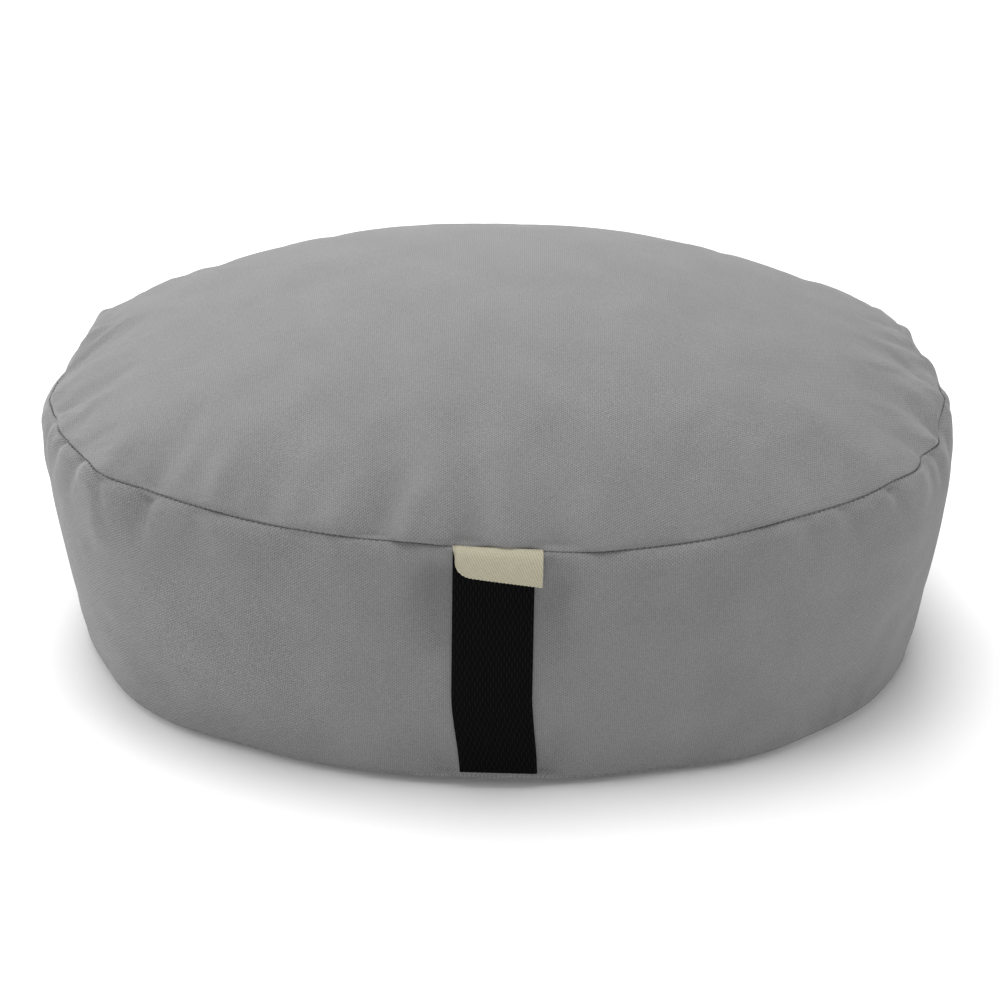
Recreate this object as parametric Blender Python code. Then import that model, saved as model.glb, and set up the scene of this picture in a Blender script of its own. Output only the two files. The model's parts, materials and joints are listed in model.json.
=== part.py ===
"""Oval meditation cushion in grey canvas, with a webbing carry strap and a small folded label.

Metres, +Z up. The origin is the middle of the flat face that the cushion rests on. +X runs along
the long side, and the strap is on the -Y side. An angle is measured round the plan from +X, so
the strap is near -90 degrees. A share runs from 0 to 1 up a panel, from its lower edge to its
upper edge, which is the middle of the top for the crown. A run is the distance from a seam.
"""

import math
from collections import namedtuple

import bmesh
import bpy
from mathutils import Vector

# Cushion, measured on the top seam unless a line says otherwise
SEAM_HALF_LENGTH = 0.2185
SEAM_HALF_DEPTH = 0.173
PLAN_POWER = 2.2  # 2 would be an ellipse
SEAM_HEIGHT = 0.1315
HEIGHT = 0.1885
CROWN_POWER = 1.6  # 2 would be half an ellipse, and 1 a parabola
END_CROWN_POWER = 1.1  # at the two ends
FRONT_BULGE = 0.0037  # how far the band stands out past the top seam
END_BULGE = 0.0058
BULGE_DROP = 0.012  # how far under the seam it stands out most
ROLL_POWER = 2.4
PULL_FADE = 0.3  # the share of the crown over which a pull at its seam dies out
FOOT_INSET = 0.0072  # how far the bottom seam lies inside the top one
FOOT_HEIGHT = 0.0066
FOOT_ROUND = 0.016  # the part of the bottom panel that curls up to its seam
COLUMNS = 176
END_CROWDING = 0.4  # how much closer the columns stand at the two ends, where the folds are

# Sewn channels
CHANNEL_HALF = 0.003
CROWN_EDGE_SHARE = 0.06  # where the top channel ends on the crown, as far from the seam
TOP_CHANNEL_DEPTH = 0.0022
FOOT_CHANNEL_DEPTH = 0.0012
CHANNEL_FALL = 0.5  # how far the top channel falls for each metre that it goes in

# Strap
STRAP_WIDTH = 0.038
STRAP_THICK = 0.0016
STRAP_TOP_MIDDLE = -0.0035
STRAP_FOOT_MIDDLE = -0.001
STRAP_FOOT_GATHER = 0.0025  # how much narrower it is where it is sewn in at the bottom
STRAP_LEAN_SHARE = 0.5  # the share of the band's height over which its middle moves
STRAP_GATHER_SHARE = 0.33  # the share over which it comes to its full width
STRAP_TOP_GAP = 0.0016  # from its upper end down to the seam line
STRAP_COLUMNS = 8
FRONT = math.radians(-90)
FRONT_REACH = math.radians(20)  # the strap and the label lie within this angle of the front

# Label
LABEL_WIDTH = 0.042
LABEL_MIDDLE = -0.001
LABEL_LENGTH = 0.0190
LABEL_RISE = 0.0005  # from the seam line up to its upper end
LABEL_THICK = 0.001
LABEL_SLIT = 0.0005  # between its two layers
LABEL_CORNER = 0.009  # the reach of its rounded left corner
LABEL_CORNER_DROP = 0.0068  # how much the corner shortens the left edge
LABEL_SLOPE = 0.0022  # how much shorter it is at the left before the corner
LABEL_COLUMNS = 14
LABEL_ROWS = 6

SEAT = 0.0004  # clear distance between pieces that touch
STEP = 0.01  # radians and shares, between points that give a normal
HALVINGS = 30

Pull = namedtuple("Pull", "angle reach out up")
Crease = namedtuple("Crease", "panel angle turn start length width depth")
Ring = namedtuple("Ring", "panel share sunk")

# Places where the top seam is drawn in or let out: degrees, degrees, metres, metres
SEAM_PULLS = (
    Pull(-4, 7, 0.0018, 0.0050),
    Pull(-12, 5, -0.0009, -0.0055),
    Pull(-34, 9, 0.0034, 0.0035),
    Pull(-52, 12, -0.0014, 0.0026),
    Pull(-70, 12, -0.0010, -0.0011),
    Pull(-110, 12, -0.0005, 0.0014),
    Pull(-128, 12, -0.0015, 0.0025),
    Pull(-148, 9, 0.0052, 0.0008),
    Pull(-168, 6, 0.0066, -0.0025),
    Pull(-178, 7, 0.0058, -0.0020),
    Pull(165, 10, -0.0028, 0.0078),
    Pull(145, 12, 0.0049, 0.0042),
    Pull(90, 35, 0.0000, 0.0015),
    Pull(35, 12, 0.0090, 0.0016),
    Pull(15, 10, -0.0028, 0.0070),
)

# Folds and puckers: degrees, degrees, then metres. Each begins at a seam at its angle, and turns
# by some degrees along its length as it widens and dies out. One on the heel begins at the bottom
# seam, and the others at the top seam. It reaches its depth at its start, under 0 for a trough.
CREASE_WIDTH_AT_SEAM = 0.7
CREASE_WIDENING = 0.6
CREASES = (
    # The crown's front
    Crease("crown", -102, 2, 0, 0.055, 0.004, 0.0008),
    Crease("crown", -90.5, 0, 0.004, 0.080, 0.012, 0.0008),
    Crease("crown", -82, 1, 0.004, 0.045, 0.005, -0.0006),
    Crease("crown", -79, 1, 0, 0.050, 0.006, 0.0008),
    # The crown's left end
    Crease("crown", -130, -9, 0.006, 0.055, 0.006, 0.0006),
    Crease("crown", -146.5, -5, 0, 0.040, 0.004, 0.0007),
    Crease("crown", -158, 3, 0.006, 0.055, 0.005, 0.0008),
    Crease("crown", -168.5, 9, 0, 0.040, 0.0035, 0.0013),
    Crease("crown", -169.5, 0, 0.006, 0.045, 0.0035, -0.0012),
    Crease("crown", -172.5, -1, 0.003, 0.060, 0.004, -0.0013),
    Crease("crown", -175.5, -7, 0, 0.085, 0.005, 0.0018),
    Crease("crown", 173, 0, 0, 0.020, 0.003, -0.0020),
    Crease("crown", 170, -2, 0, 0.050, 0.005, 0.0015),
    # The crown's right end
    Crease("crown", 26, 4, 0, 0.060, 0.0045, 0.0015),
    Crease("crown", 16.5, 8, 0.003, 0.050, 0.0035, -0.0012),
    Crease("crown", 12.5, 10, 0, 0.065, 0.004, 0.0020),
    Crease("crown", 7, 3, 0, 0.080, 0.0045, 0.0020),
    Crease("crown", 2, 1, 0, 0.045, 0.005, -0.0014),
    Crease("crown", -3, 3, 0, 0.045, 0.004, 0.0014),
    Crease("crown", -6.5, 2, 0, 0.030, 0.003, -0.0012),
    Crease("crown", -10.5, 8, 0, 0.040, 0.003, 0.0014),
    Crease("crown", -12.5, 3, 0.004, 0.040, 0.004, -0.0012),
    Crease("crown", -22, 2, 0, 0.030, 0.004, -0.0008),
    # The band under the left of the top seam
    Crease("band", -97.3, 0, 0, 0.090, 0.009, -0.0030),
    Crease("band", -129, 17, 0, 0.045, 0.005, -0.0016),
    Crease("band", -139, 8, 0, 0.045, 0.0055, -0.0035),
    Crease("band", -147.5, 10, 0, 0.035, 0.0035, -0.0016),
    Crease("band", -152, 3, 0, 0.035, 0.0035, 0.0015),
    Crease("band", -155, 2, 0, 0.030, 0.0035, -0.0018),
    Crease("band", -161, 3, 0, 0.035, 0.0035, 0.0012),
    Crease("band", -163.5, 1, 0.003, 0.035, 0.003, -0.0018),
    Crease("band", -169, 12, 0, 0.050, 0.0045, 0.0025),
    # The band under the right of the top seam
    Crease("band", -83.5, 0, 0, 0.090, 0.009, -0.0030),
    Crease("band", -52, 3, 0, 0.035, 0.005, -0.0013),
    Crease("band", -47, 5, 0, 0.035, 0.004, 0.0008),
    Crease("band", -44, 5, 0, 0.040, 0.005, -0.0018),
    Crease("band", -34, 5, 0, 0.045, 0.005, -0.0022),
    Crease("band", -22, 3, 0, 0.045, 0.0035, 0.0020),
    Crease("band", -17.5, 3, 0, 0.035, 0.005, -0.0015),
    Crease("band", -10, 7, 0, 0.030, 0.003, 0.0017),
    # The back, by the same make
    Crease("crown", 32, 4, 0, 0.050, 0.005, 0.0010),
    Crease("crown", 146, -4, 0, 0.050, 0.005, 0.0010),
    Crease("crown", 113, -1, 0, 0.045, 0.006, 0.0007),
    Crease("band", 24, -2, 0, 0.040, 0.005, -0.0018),
    Crease("band", 44, 3, 0, 0.045, 0.006, -0.0020),
    Crease("band", 76, 1, 0, 0.040, 0.007, -0.0012),
    Crease("band", 118, -2, 0, 0.045, 0.006, -0.0015),
    Crease("band", 139, -3, 0, 0.045, 0.005, -0.0022),
    Crease("band", 158, 2, 0, 0.040, 0.005, -0.0018),
    # Over the bottom seam
    Crease("heel", -95.5, -4, 0, 0.040, 0.005, -0.0012),
    Crease("heel", -85, 4, 0, 0.040, 0.005, -0.0012),
    Crease("heel", -48, -2, 0, 0.035, 0.004, 0.0010),
    Crease("heel", -40, 1, 0, 0.035, 0.004, 0.0010),
    Crease("heel", -34, 2, 0, 0.035, 0.004, 0.0010),
)

# The cushion's rings, from the edge of its flat resting face to near the middle of its crown
FOOT_SHARES = (0.0, 0.4, 0.75)
BAND_SHARES = (0.09, 0.2, 0.33, 0.46, 0.59, 0.71, 0.81, 0.88, 0.935)
CROWN_SHARES = (0.095, 0.14, 0.2, 0.27, 0.35, 0.45, 0.56, 0.68, 0.8, 0.91)


def power(value, exponent):
    return math.copysign(abs(value) ** exponent, value)


def bell(distance, reach):
    return math.exp(-((distance / reach) ** 2))


def smooth(value):
    value = min(max(value, 0.0), 1.0)
    return value * value * (3 - 2 * value)


def turn_between(angle, middle):
    """The signed turn in degrees from middle to angle, by the short way."""
    return (math.degrees(angle) - middle + 180) % 360 - 180


def seam_pull(angle):
    """How far the top seam is let out and lifted at an angle."""
    out = 0.0
    up = 0.0
    for pull in SEAM_PULLS:
        share = bell(turn_between(angle, pull.angle), pull.reach)
        out += pull.out * share
        up += pull.up * share
    return out, up


def plan(angle):
    """A point of the seam's plan before any pull, and the plan's outward normal."""
    c = math.cos(angle)
    s = math.sin(angle)
    point = Vector(
        (
            SEAM_HALF_LENGTH * power(c, 2 / PLAN_POWER),
            SEAM_HALF_DEPTH * power(s, 2 / PLAN_POWER),
            0,
        )
    )
    rise = 2 - 2 / PLAN_POWER
    outward = Vector(
        (power(c, rise) / SEAM_HALF_LENGTH, power(s, rise) / SEAM_HALF_DEPTH, 0)
    )
    return point, outward.normalized()


def foot_point(angle, share):
    point, outward = plan(angle)
    turn = share * math.pi / 2
    grow = FOOT_ROUND * (math.sin(turn) - 1) - FOOT_INSET
    point += outward * grow
    point.z = FOOT_HEIGHT * (1 - math.cos(turn))
    return point


def band_grow(angle, height, seam_height):
    """How far the band stands out past the plan of the top seam at a height."""
    bulge = FRONT_BULGE + (END_BULGE - FRONT_BULGE) * math.cos(angle) ** 2
    full_height = seam_height - BULGE_DROP
    if height < full_height:
        climb = (height - FOOT_HEIGHT) / (full_height - FOOT_HEIGHT)
        swell = math.sin(climb * math.pi / 2)
        return (bulge + FOOT_INSET) * swell - FOOT_INSET
    roll = (height - full_height) / BULGE_DROP
    return bulge * (1 - roll**ROLL_POWER)


def band_point(angle, share):
    point, outward = plan(angle)
    out, up = seam_pull(angle)
    seam_height = SEAM_HEIGHT + up
    height = FOOT_HEIGHT + (seam_height - FOOT_HEIGHT) * share
    point += outward * (band_grow(angle, height, seam_height) + out * share * share)
    point.z = height
    return point


def crown_point(angle, share):
    point, outward = plan(angle)
    out, up = seam_pull(angle)
    fade = bell(share, PULL_FADE)
    turn = share * math.pi / 2
    point = point * math.cos(turn) + outward * out * fade
    slack = math.cos(angle) ** 2
    crown_power = CROWN_POWER + (END_CROWN_POWER - CROWN_POWER) * slack
    rise = math.sin(turn) ** (2 / crown_power)
    point.z = SEAM_HEIGHT + (HEIGHT - SEAM_HEIGHT) * rise + up * fade
    return point


PANELS = {"foot": foot_point, "band": band_point, "crown": crown_point}


def outward_at(panel, angle, share):
    """The outward normal of a panel, from points close by on the same panel."""
    low = max(share - STEP, 0.0)
    high = min(share + STEP, 1.0)
    place = PANELS[panel]
    across = place(angle + STEP, share) - place(angle - STEP, share)
    upward = place(angle, high) - place(angle, low)
    return across.cross(upward).normalized()


def crease_height(crease, angle, run, spread):
    """How far one crease lifts a point of its panel. spread is metres for each radian there."""
    along = min(run / crease.length, 1.0)
    middle = crease.angle + crease.turn * along
    across = math.radians(turn_between(angle, middle)) * spread
    begins = smooth(run / crease.start) if crease.start else 1.0
    width = crease.width * (CREASE_WIDTH_AT_SEAM + CREASE_WIDENING * along)
    return crease.depth * bell(across, width) * begins * (1 - smooth(along))


def relief(panel, angle, share):
    """How far the creases lift a point along its normal."""
    point = PANELS[panel](angle, share)
    spread = math.hypot(point.x, point.y)
    run = (point - crown_point(angle, 0.0)).length
    climb = (point - band_point(angle, 0.0)).length
    lift = 0.0
    for crease in CREASES:
        if crease.panel == panel:
            lift += crease_height(crease, angle, run, spread)
        elif crease.panel == "heel" and panel == "band":
            lift += crease_height(crease, angle, climb, spread)
    return lift


def skin_point(panel, angle, share):
    """A point of the cushion's surface, with its folds."""
    point = PANELS[panel](angle, share)
    if panel == "foot":
        return point
    return point + outward_at(panel, angle, share) * relief(panel, angle, share)


def band_share(distance):
    """The share of the band's height that a distance takes."""
    return distance / (SEAM_HEIGHT - FOOT_HEIGHT)


def cushion_rings():
    """Every ring of the cushion, upwards, with the two sewn channels."""
    foot = [Ring("foot", share, 0.0) for share in FOOT_SHARES]
    low_edge = band_share(CHANNEL_HALF)
    band = [Ring("band", share, 0.0) for share in (low_edge, *BAND_SHARES, 1 - low_edge)]
    low_seam = [Ring("band", 0.0, FOOT_CHANNEL_DEPTH)]
    top_seam = [Ring("crown", 0.0, TOP_CHANNEL_DEPTH)]
    crown = [Ring("crown", share, 0.0) for share in (CROWN_EDGE_SHARE, *CROWN_SHARES)]
    return foot + low_seam + band + top_seam + crown


def sunk_point(ring, angle):
    """A ring's point. The line of a seam is drawn straight in, as the thread pulls it."""
    point = skin_point(ring.panel, angle, ring.share)
    if not ring.sunk:
        return point
    inward = plan(angle)[1] * -1
    if ring.panel == "crown":
        inward.z = -CHANNEL_FALL
    return point + inward.normalized() * ring.sunk


def new_object(name, mesh, material, smooth_over):
    mesh.normal_update()
    data = bpy.data.meshes.new(name)
    mesh.to_mesh(data)
    mesh.free()
    data.materials.append(material)
    data.shade_smooth()
    data.set_sharp_from_angle(angle=math.radians(smooth_over))
    placed = bpy.data.objects.new(name, data)
    bpy.context.scene.collection.objects.link(placed)
    return placed


def new_material(name, colour, roughness):
    material = bpy.data.materials.new(name)
    material.use_nodes = True
    shader = material.node_tree.nodes["Principled BSDF"]
    shader.inputs["Base Color"].default_value = (*colour, 1)
    shader.inputs["Roughness"].default_value = roughness
    shader.inputs["Metallic"].default_value = 0.0
    material.diffuse_color = (*colour, 1)
    return material


def bridge(mesh, lower, upper):
    """Quads between two closed rings of the same count, facing out."""
    count = len(lower)
    for place in range(count):
        after = (place + 1) % count
        mesh.faces.new((lower[place], lower[after], upper[after], upper[place]))


def column_angles():
    angles = []
    for column in range(COLUMNS):
        angle = 2 * math.pi * column / COLUMNS
        angles.append(angle - END_CROWDING * math.sin(2 * angle) / 2)
    return angles


def build_cushion():
    mesh = bmesh.new()
    angles = column_angles()
    rings = []
    for ring in cushion_rings():
        rings.append([mesh.verts.new(sunk_point(ring, angle)) for angle in angles])
    for lower, upper in zip(rings, rings[1:]):
        bridge(mesh, lower, upper)
    mesh.faces.new(list(reversed(rings[0])))
    top = mesh.verts.new((0, 0, HEIGHT))
    last = rings[-1]
    for place in range(COLUMNS):
        mesh.faces.new((last[place], last[(place + 1) % COLUMNS], top))
    return new_object("cushion", mesh, new_material("canvas", (0.215, 0.215, 0.215), 0.9), 50)


def angle_at(x, share):
    """The angle on the front of the band at which its surface has this x."""
    low = FRONT - FRONT_REACH
    high = FRONT + FRONT_REACH
    for _ in range(HALVINGS):
        middle = (low + high) / 2
        if band_point(middle, share).x < x:
            low = middle
        else:
            high = middle
    return (low + high) / 2


def strap_edges(share):
    """The x of the strap's left and right edges at a share of the band's height."""
    lean = (STRAP_TOP_MIDDLE - STRAP_FOOT_MIDDLE) * smooth(share / STRAP_LEAN_SHARE)
    middle = STRAP_FOOT_MIDDLE + lean
    width = STRAP_WIDTH - STRAP_FOOT_GATHER * (1 - smooth(share / STRAP_GATHER_SHARE))
    return middle - width / 2, middle + width / 2


def strap_shares():
    lowest = band_share(CHANNEL_HALF)
    highest = 1 - band_share(STRAP_TOP_GAP)
    return (lowest, *BAND_SHARES, 1 - lowest, highest)


def front_point(x, share, lift):
    """A point in front of the band, which spans its folds and follows it into the top channel."""
    angle = angle_at(x, share)
    off_seam = max((1 - share) * (SEAM_HEIGHT - FOOT_HEIGHT), 0.0)
    depth = TOP_CHANNEL_DEPTH * max(1 - off_seam / CHANNEL_HALF, 0.0) ** 2
    return band_point(angle, share) + outward_at("band", angle, share) * (lift - depth)


def sheet_between(mesh, back, front):
    """Closes a sheet between two grids of points that have the same rows and columns."""
    back = [[mesh.verts.new(point) for point in row] for row in back]
    front = [[mesh.verts.new(point) for point in row] for row in front]
    rows = len(back)
    columns = len(back[0])
    for r in range(rows - 1):
        for c in range(columns - 1):
            mesh.faces.new((front[r][c], front[r][c + 1], front[r + 1][c + 1], front[r + 1][c]))
            mesh.faces.new((back[r][c], back[r + 1][c], back[r + 1][c + 1], back[r][c + 1]))
    for r in range(rows - 1):
        mesh.faces.new((front[r][0], front[r + 1][0], back[r + 1][0], back[r][0]))
        mesh.faces.new((front[r][-1], back[r][-1], back[r + 1][-1], front[r + 1][-1]))
    for c in range(columns - 1):
        mesh.faces.new((front[0][c], back[0][c], back[0][c + 1], front[0][c + 1]))
        mesh.faces.new((front[-1][c], front[-1][c + 1], back[-1][c + 1], back[-1][c]))


def build_strap():
    mesh = bmesh.new()
    back = []
    front = []
    for share in strap_shares():
        left, right = strap_edges(share)
        places = [left + (right - left) * c / STRAP_COLUMNS for c in range(STRAP_COLUMNS + 1)]
        back.append([front_point(x, share, SEAT) for x in places])
        front.append([front_point(x, share, SEAT + STRAP_THICK) for x in places])
    sheet_between(mesh, back, front)
    return new_object("strap", mesh, new_material("webbing", (0.006, 0.006, 0.006), 0.8), 40)


def label_length(across):
    """The label's length at a share of its width from the left, with its rounded left corner."""
    length = LABEL_LENGTH - LABEL_SLOPE * (1 - across)
    inside = across * LABEL_WIDTH / LABEL_CORNER
    if inside >= 1:
        return length
    return length - LABEL_CORNER_DROP * (1 - math.sqrt(1 - (1 - inside) ** 2))


def label_path(length):
    """(run, lift) pairs down the back layer, round the fold and up the front layer."""
    inner = LABEL_SLIT / 2
    middle = inner + LABEL_THICK
    straight = length - middle
    downs = [straight * step / LABEL_ROWS for step in range(LABEL_ROWS + 1)]
    turns = [math.pi * step / LABEL_ROWS for step in range(1, LABEL_ROWS)]
    outer = [(run, 0.0) for run in downs]
    outer += [(straight + middle * math.sin(t), middle * (1 - math.cos(t))) for t in turns]
    outer += [(run, 2 * middle) for run in reversed(downs)]
    slit = [(run, middle - inner) for run in downs]
    slit += [(straight + inner * math.sin(t), middle - inner * math.cos(t)) for t in turns]
    slit += [(run, middle + inner) for run in reversed(downs)]
    return outer, slit


def label_point(x, run, lift):
    """A point in front of the strap, a run below the label's upper end."""
    share = 1 - band_share(run - LABEL_RISE)
    return front_point(x, share, 2 * SEAT + STRAP_THICK + lift)


def build_label():
    mesh = bmesh.new()
    left = LABEL_MIDDLE - LABEL_WIDTH / 2
    outer = []
    slit = []
    for column in reversed(range(LABEL_COLUMNS + 1)):
        across = column / LABEL_COLUMNS
        x = left + LABEL_WIDTH * across
        outline = label_path(label_length(across))
        outer.append([label_point(x, run, lift) for run, lift in outline[0]])
        slit.append([label_point(x, run, lift) for run, lift in outline[1]])
    sheet_between(mesh, slit, outer)
    return new_object("label", mesh, new_material("woven_tape", (0.62, 0.57, 0.42), 0.85), 40)


def clear_scene():
    for placed in list(bpy.context.scene.objects):
        bpy.data.objects.remove(placed, do_unlink=True)


def main():
    clear_scene()
    build_cushion()
    build_strap()
    build_label()


main()
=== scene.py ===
"""Oval meditation cushion in grey canvas, with a black webbing strap and a bare cream label.

Metres, +Z up, in the frame of the solids: the origin is the middle of the resting face and the
strap is on the -Y side. An angle is measured round the plan from +X. A share runs from 0 to 1 up a
panel, from its lower edge to its upper edge, which is the middle of the top for the crown.
"""

import json
import math
from collections import namedtuple

import bpy
import numpy as np
from mathutils import Matrix, Vector

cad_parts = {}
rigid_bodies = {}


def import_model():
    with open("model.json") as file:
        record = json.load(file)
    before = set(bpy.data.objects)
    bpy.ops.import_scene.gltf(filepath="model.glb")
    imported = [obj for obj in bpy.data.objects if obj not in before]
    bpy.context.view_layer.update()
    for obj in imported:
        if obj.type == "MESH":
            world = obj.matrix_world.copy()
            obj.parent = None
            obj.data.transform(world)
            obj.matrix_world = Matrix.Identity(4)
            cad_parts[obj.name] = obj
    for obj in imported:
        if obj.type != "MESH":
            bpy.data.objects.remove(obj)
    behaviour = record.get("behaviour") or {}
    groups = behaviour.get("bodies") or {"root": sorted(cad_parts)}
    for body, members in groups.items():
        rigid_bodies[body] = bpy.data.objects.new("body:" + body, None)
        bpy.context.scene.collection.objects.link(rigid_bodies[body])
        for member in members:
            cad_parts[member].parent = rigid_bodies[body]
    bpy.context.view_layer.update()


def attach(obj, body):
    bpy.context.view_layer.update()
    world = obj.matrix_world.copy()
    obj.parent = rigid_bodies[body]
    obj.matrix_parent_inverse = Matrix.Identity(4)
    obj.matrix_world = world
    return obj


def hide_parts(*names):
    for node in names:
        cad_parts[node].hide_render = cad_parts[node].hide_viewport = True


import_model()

# Cushion, the same sizes as its solid
SEAM_HALF_LENGTH = 0.2185
SEAM_HALF_DEPTH = 0.173
PLAN_POWER = 2.2
SEAM_HEIGHT = 0.1315
HEIGHT = 0.1885
CROWN_POWER = 1.6
END_CROWN_POWER = 1.1
FRONT_BULGE = 0.0037
END_BULGE = 0.0058
BULGE_DROP = 0.012
ROLL_POWER = 2.4
PULL_FADE = 0.3
FOOT_INSET = 0.0072
FOOT_HEIGHT = 0.0066
FOOT_ROUND = 0.016

# Its mesh before one subdivision
GRID_HALF = 40  # quads from the middle of the crown to the edge of the grid that fills it
COLUMNS = 8 * GRID_HALF
END_CROWDING = 0.4  # how much closer the columns stand at the two ends, where the folds are
# Rings of points off each seam, by their distance from it
SEAM_STEPS = (0.00015, 0.00035, 0.0006, 0.0011, 0.0018, 0.0028, 0.0042, 0.0062, 0.009)
FOOT_STEPS = (0.0006, 0.0018, 0.0042, 0.009)
FLAT_RINGS = (0.82, 0.64, 0.46, 0.3, 0.16)  # in the flat face, each with half as many points
BAND_ROWS = 16  # between the rings that follow its two seams
FAR_FROM_SEAM = 0.03
STEP = 0.01  # radians and shares, between points that give a normal
SMALLEST = 0.0001  # metres, for the middle of the crown, where a length would be divided by 0
CROWN_RUN_STEPS = 40
HALVINGS = 24

# Seam
ROLL_HALF = 0.0006  # where each panel starts to roll into the seam
TOP_DEPTH = 0.0005
FOOT_DEPTH = 0.0003
EASE_RUN = 0.0032  # how far from the seam the panels start to fall towards it
EASE_DEPTH = 0.0006
CHANNEL_FALL = 0.5
STITCH_PITCH = 0.0029
STITCH_LENGTH = 0.0019
STITCH_HALF = 0.00034
STITCH_SUNK = 0.00028
STITCH_HIDDEN = 0.0006  # how much deeper they lie beside the label, where the cloth closes on them
HIDDEN_REACH = 16  # degrees
STITCH_TURN = math.radians(9)
STITCH_SHARES = (-0.5, -0.36, -0.15, 0.15, 0.36, 0.5)  # places along a stitch
STITCH_SIZES = (0.25, 0.8, 1, 1, 0.8, 0.25)  # and how thick it is there
STITCH_SIDES = 6

# Strap
STRAP_WIDTH = 0.038
STRAP_THICK = 0.0016
STRAP_TOP_MIDDLE = -0.0028
STRAP_FOOT_MIDDLE = 0.0009
STRAP_FOOT_GATHER = 0.0011
STRAP_LEAN_SHARE = 0.4
STRAP_GATHER_SHARE = 0.33
STRAP_TOP_GAP = 0.0016
STRAND_PITCH = 0.00123
FLOAT_PITCH = 0.0029
FLOAT_LOW = 0.35  # how high a strand stands where it goes under, as a share
STRAND_RELIEF = 0.00022
STRAP_COLUMNS = 125
STRAP_ROWS = 190
STRAP_EDGE = 0.0008  # how far in from its side edges the strap is rounded
STRAP_EDGE_DROP = 0.0005
CHANNEL_HALF = 0.003
TOP_CHANNEL_DEPTH = 0.0022
FRONT = math.radians(-90)
FRONT_REACH = math.radians(20)

# Label
LABEL_WIDTH = 0.0404
LABEL_MIDDLE = -0.0005
LABEL_LENGTH = 0.0156
LABEL_RISE = 0.0005
LABEL_THICK = 0.0008
LABEL_SLIT = 0.0007
LABEL_CORNER = 0.0078
LABEL_CORNER_DROP = 0.0054
LABEL_BACK_SHIFT = 0.0013  # how far the back layer peeps out at the left
LABEL_SLOPE = 0.0040
LABEL_TOOTH_PITCH = 0.0017
LABEL_TOOTH = 0.00016
LABEL_COLUMNS = 96
LABEL_ROWS = 30
LABEL_FOLD_ROWS = 10
SEAT = 0.0004

# Filling that presses the cloth out
PRESS_FRAMES = 20
PRESSURE = 4.0
PRESS_SLACK = 0.012  # the share by which the cloth is larger than its place
PRESSED_CLOTH = {
    "quality": 5,
    "mass": 0.3,
    "tension_stiffness": 15,
    "compression_stiffness": 15,
    "shear_stiffness": 5,
    "bending_stiffness": 0.3,
    "shrink_min": -PRESS_SLACK,
    "shrink_max": -PRESS_SLACK,
    "use_pressure": True,
    "uniform_pressure_force": PRESSURE,
    "vertex_group_mass": "held",
}
PRESS_LIMIT = 0.0009  # the most that it moves a point
PRESS_SPREAD = 60  # rounds of averaging that find the broad swelling, which is left out
HELD_GAP = 0.0065  # the cloth this near a seam stays
HELD_HEIGHT = 0.013
HELD_HALF = 0.026

Pull = namedtuple("Pull", "angle reach out up")
Crease = namedtuple("Crease", "angle turn start length width depth")
Loop = namedtuple("Loop", "ids cloth")

# Places where the top seam is drawn in or let out, each the values of a Pull: degrees, degrees,
# metres, metres
SEAM_PULLS = (
    (-4, 7, 0.0019, 0.0072),
    (-12, 5, 0.0008, -0.0043),
    (-15.5, 3.5, 0.0022, 0.001),
    (-25, 5, 0.0015, -0.0014),
    (-34, 9, 0.0036, 0.0034),
    (-52, 12, -0.0007, 0.0024),
    (-70, 12, -0.0024, -0.0017),
    (-81, 6, 0, -0.0014),
    (-90, 15, -0.0004, 0.0006),
    (-99, 5, 0, 0.0012),
    (-110, 12, -0.0008, 0.0018),
    (-128, 12, -0.0009, 0.0018),
    (-140, 6, -0.001, -0.0003),
    (-148, 9, 0.0078, 0.0018),
    (-160, 4, 0.0037, -0.0001),
    (-168, 6, 0.0064, -0.0013),
    (-172, 4, -0.0006, 0.0015),
    (-178, 7, 0.0069, -0.0034),
    (165, 10, 0.0008, 0.0074),
    (157, 4, 0.0012, 0.0006),
    (145, 12, 0.0026, 0.0036),
    (90, 35, 0, 0.0015),
    (35, 12, 0.0066, 0.0016),
    (24, 5, 0.001, 0.0018),
    (15, 10, -0.003, 0.0072),
)

# The same for the bottom seam, which lies low but is lifted where the strap pulls on it
FOOT_DROP = 0.003
FOOT_PULLS = (
    (-160, 9, -0.0026, 0),
    (-124, 9, -0.0036, 0),
    (-110, 9, -0.0018, 0),
    (-92, 13, 0.0006, 0.003),
    (-70, 9, -0.004, 0),
    (-45, 8, -0.0024, 0),
    (-35, 8, -0.0018, 0),
    (-23, 8, -0.0014, 0),
    (-5, 15, -0.0018, 0),
)

# Points where a pucker draws the top seam to a cusp, and the share of each panel it reaches
CROWN_CUSP_FADE = 0.05
BAND_CUSP_FADE = 0.09
SEAM_CUSPS = (
    (-10, 2, -0.0042, 0.0006),
    (-21.5, 2, -0.0034, 0.0012),
    (-34, 3, -0.0008, 0.0004),
    (-139, 3, -0.001, 0.0003),
    (-151, 2, -0.001, 0.001),
    (-160, 2, -0.0009, 0.001),
    (-168, 2, -0.0036, 0.0012),
    (175, 2.5, -0.0026, -0.0006),
    (167, 4, -0.0066, -0.001),
    (26, 4, -0.0018, 0),
    (19, 4, -0.0022, 0),
    (11, 3, -0.0026, 0),
    (2, 2.5, -0.0026, 0),
)

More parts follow.
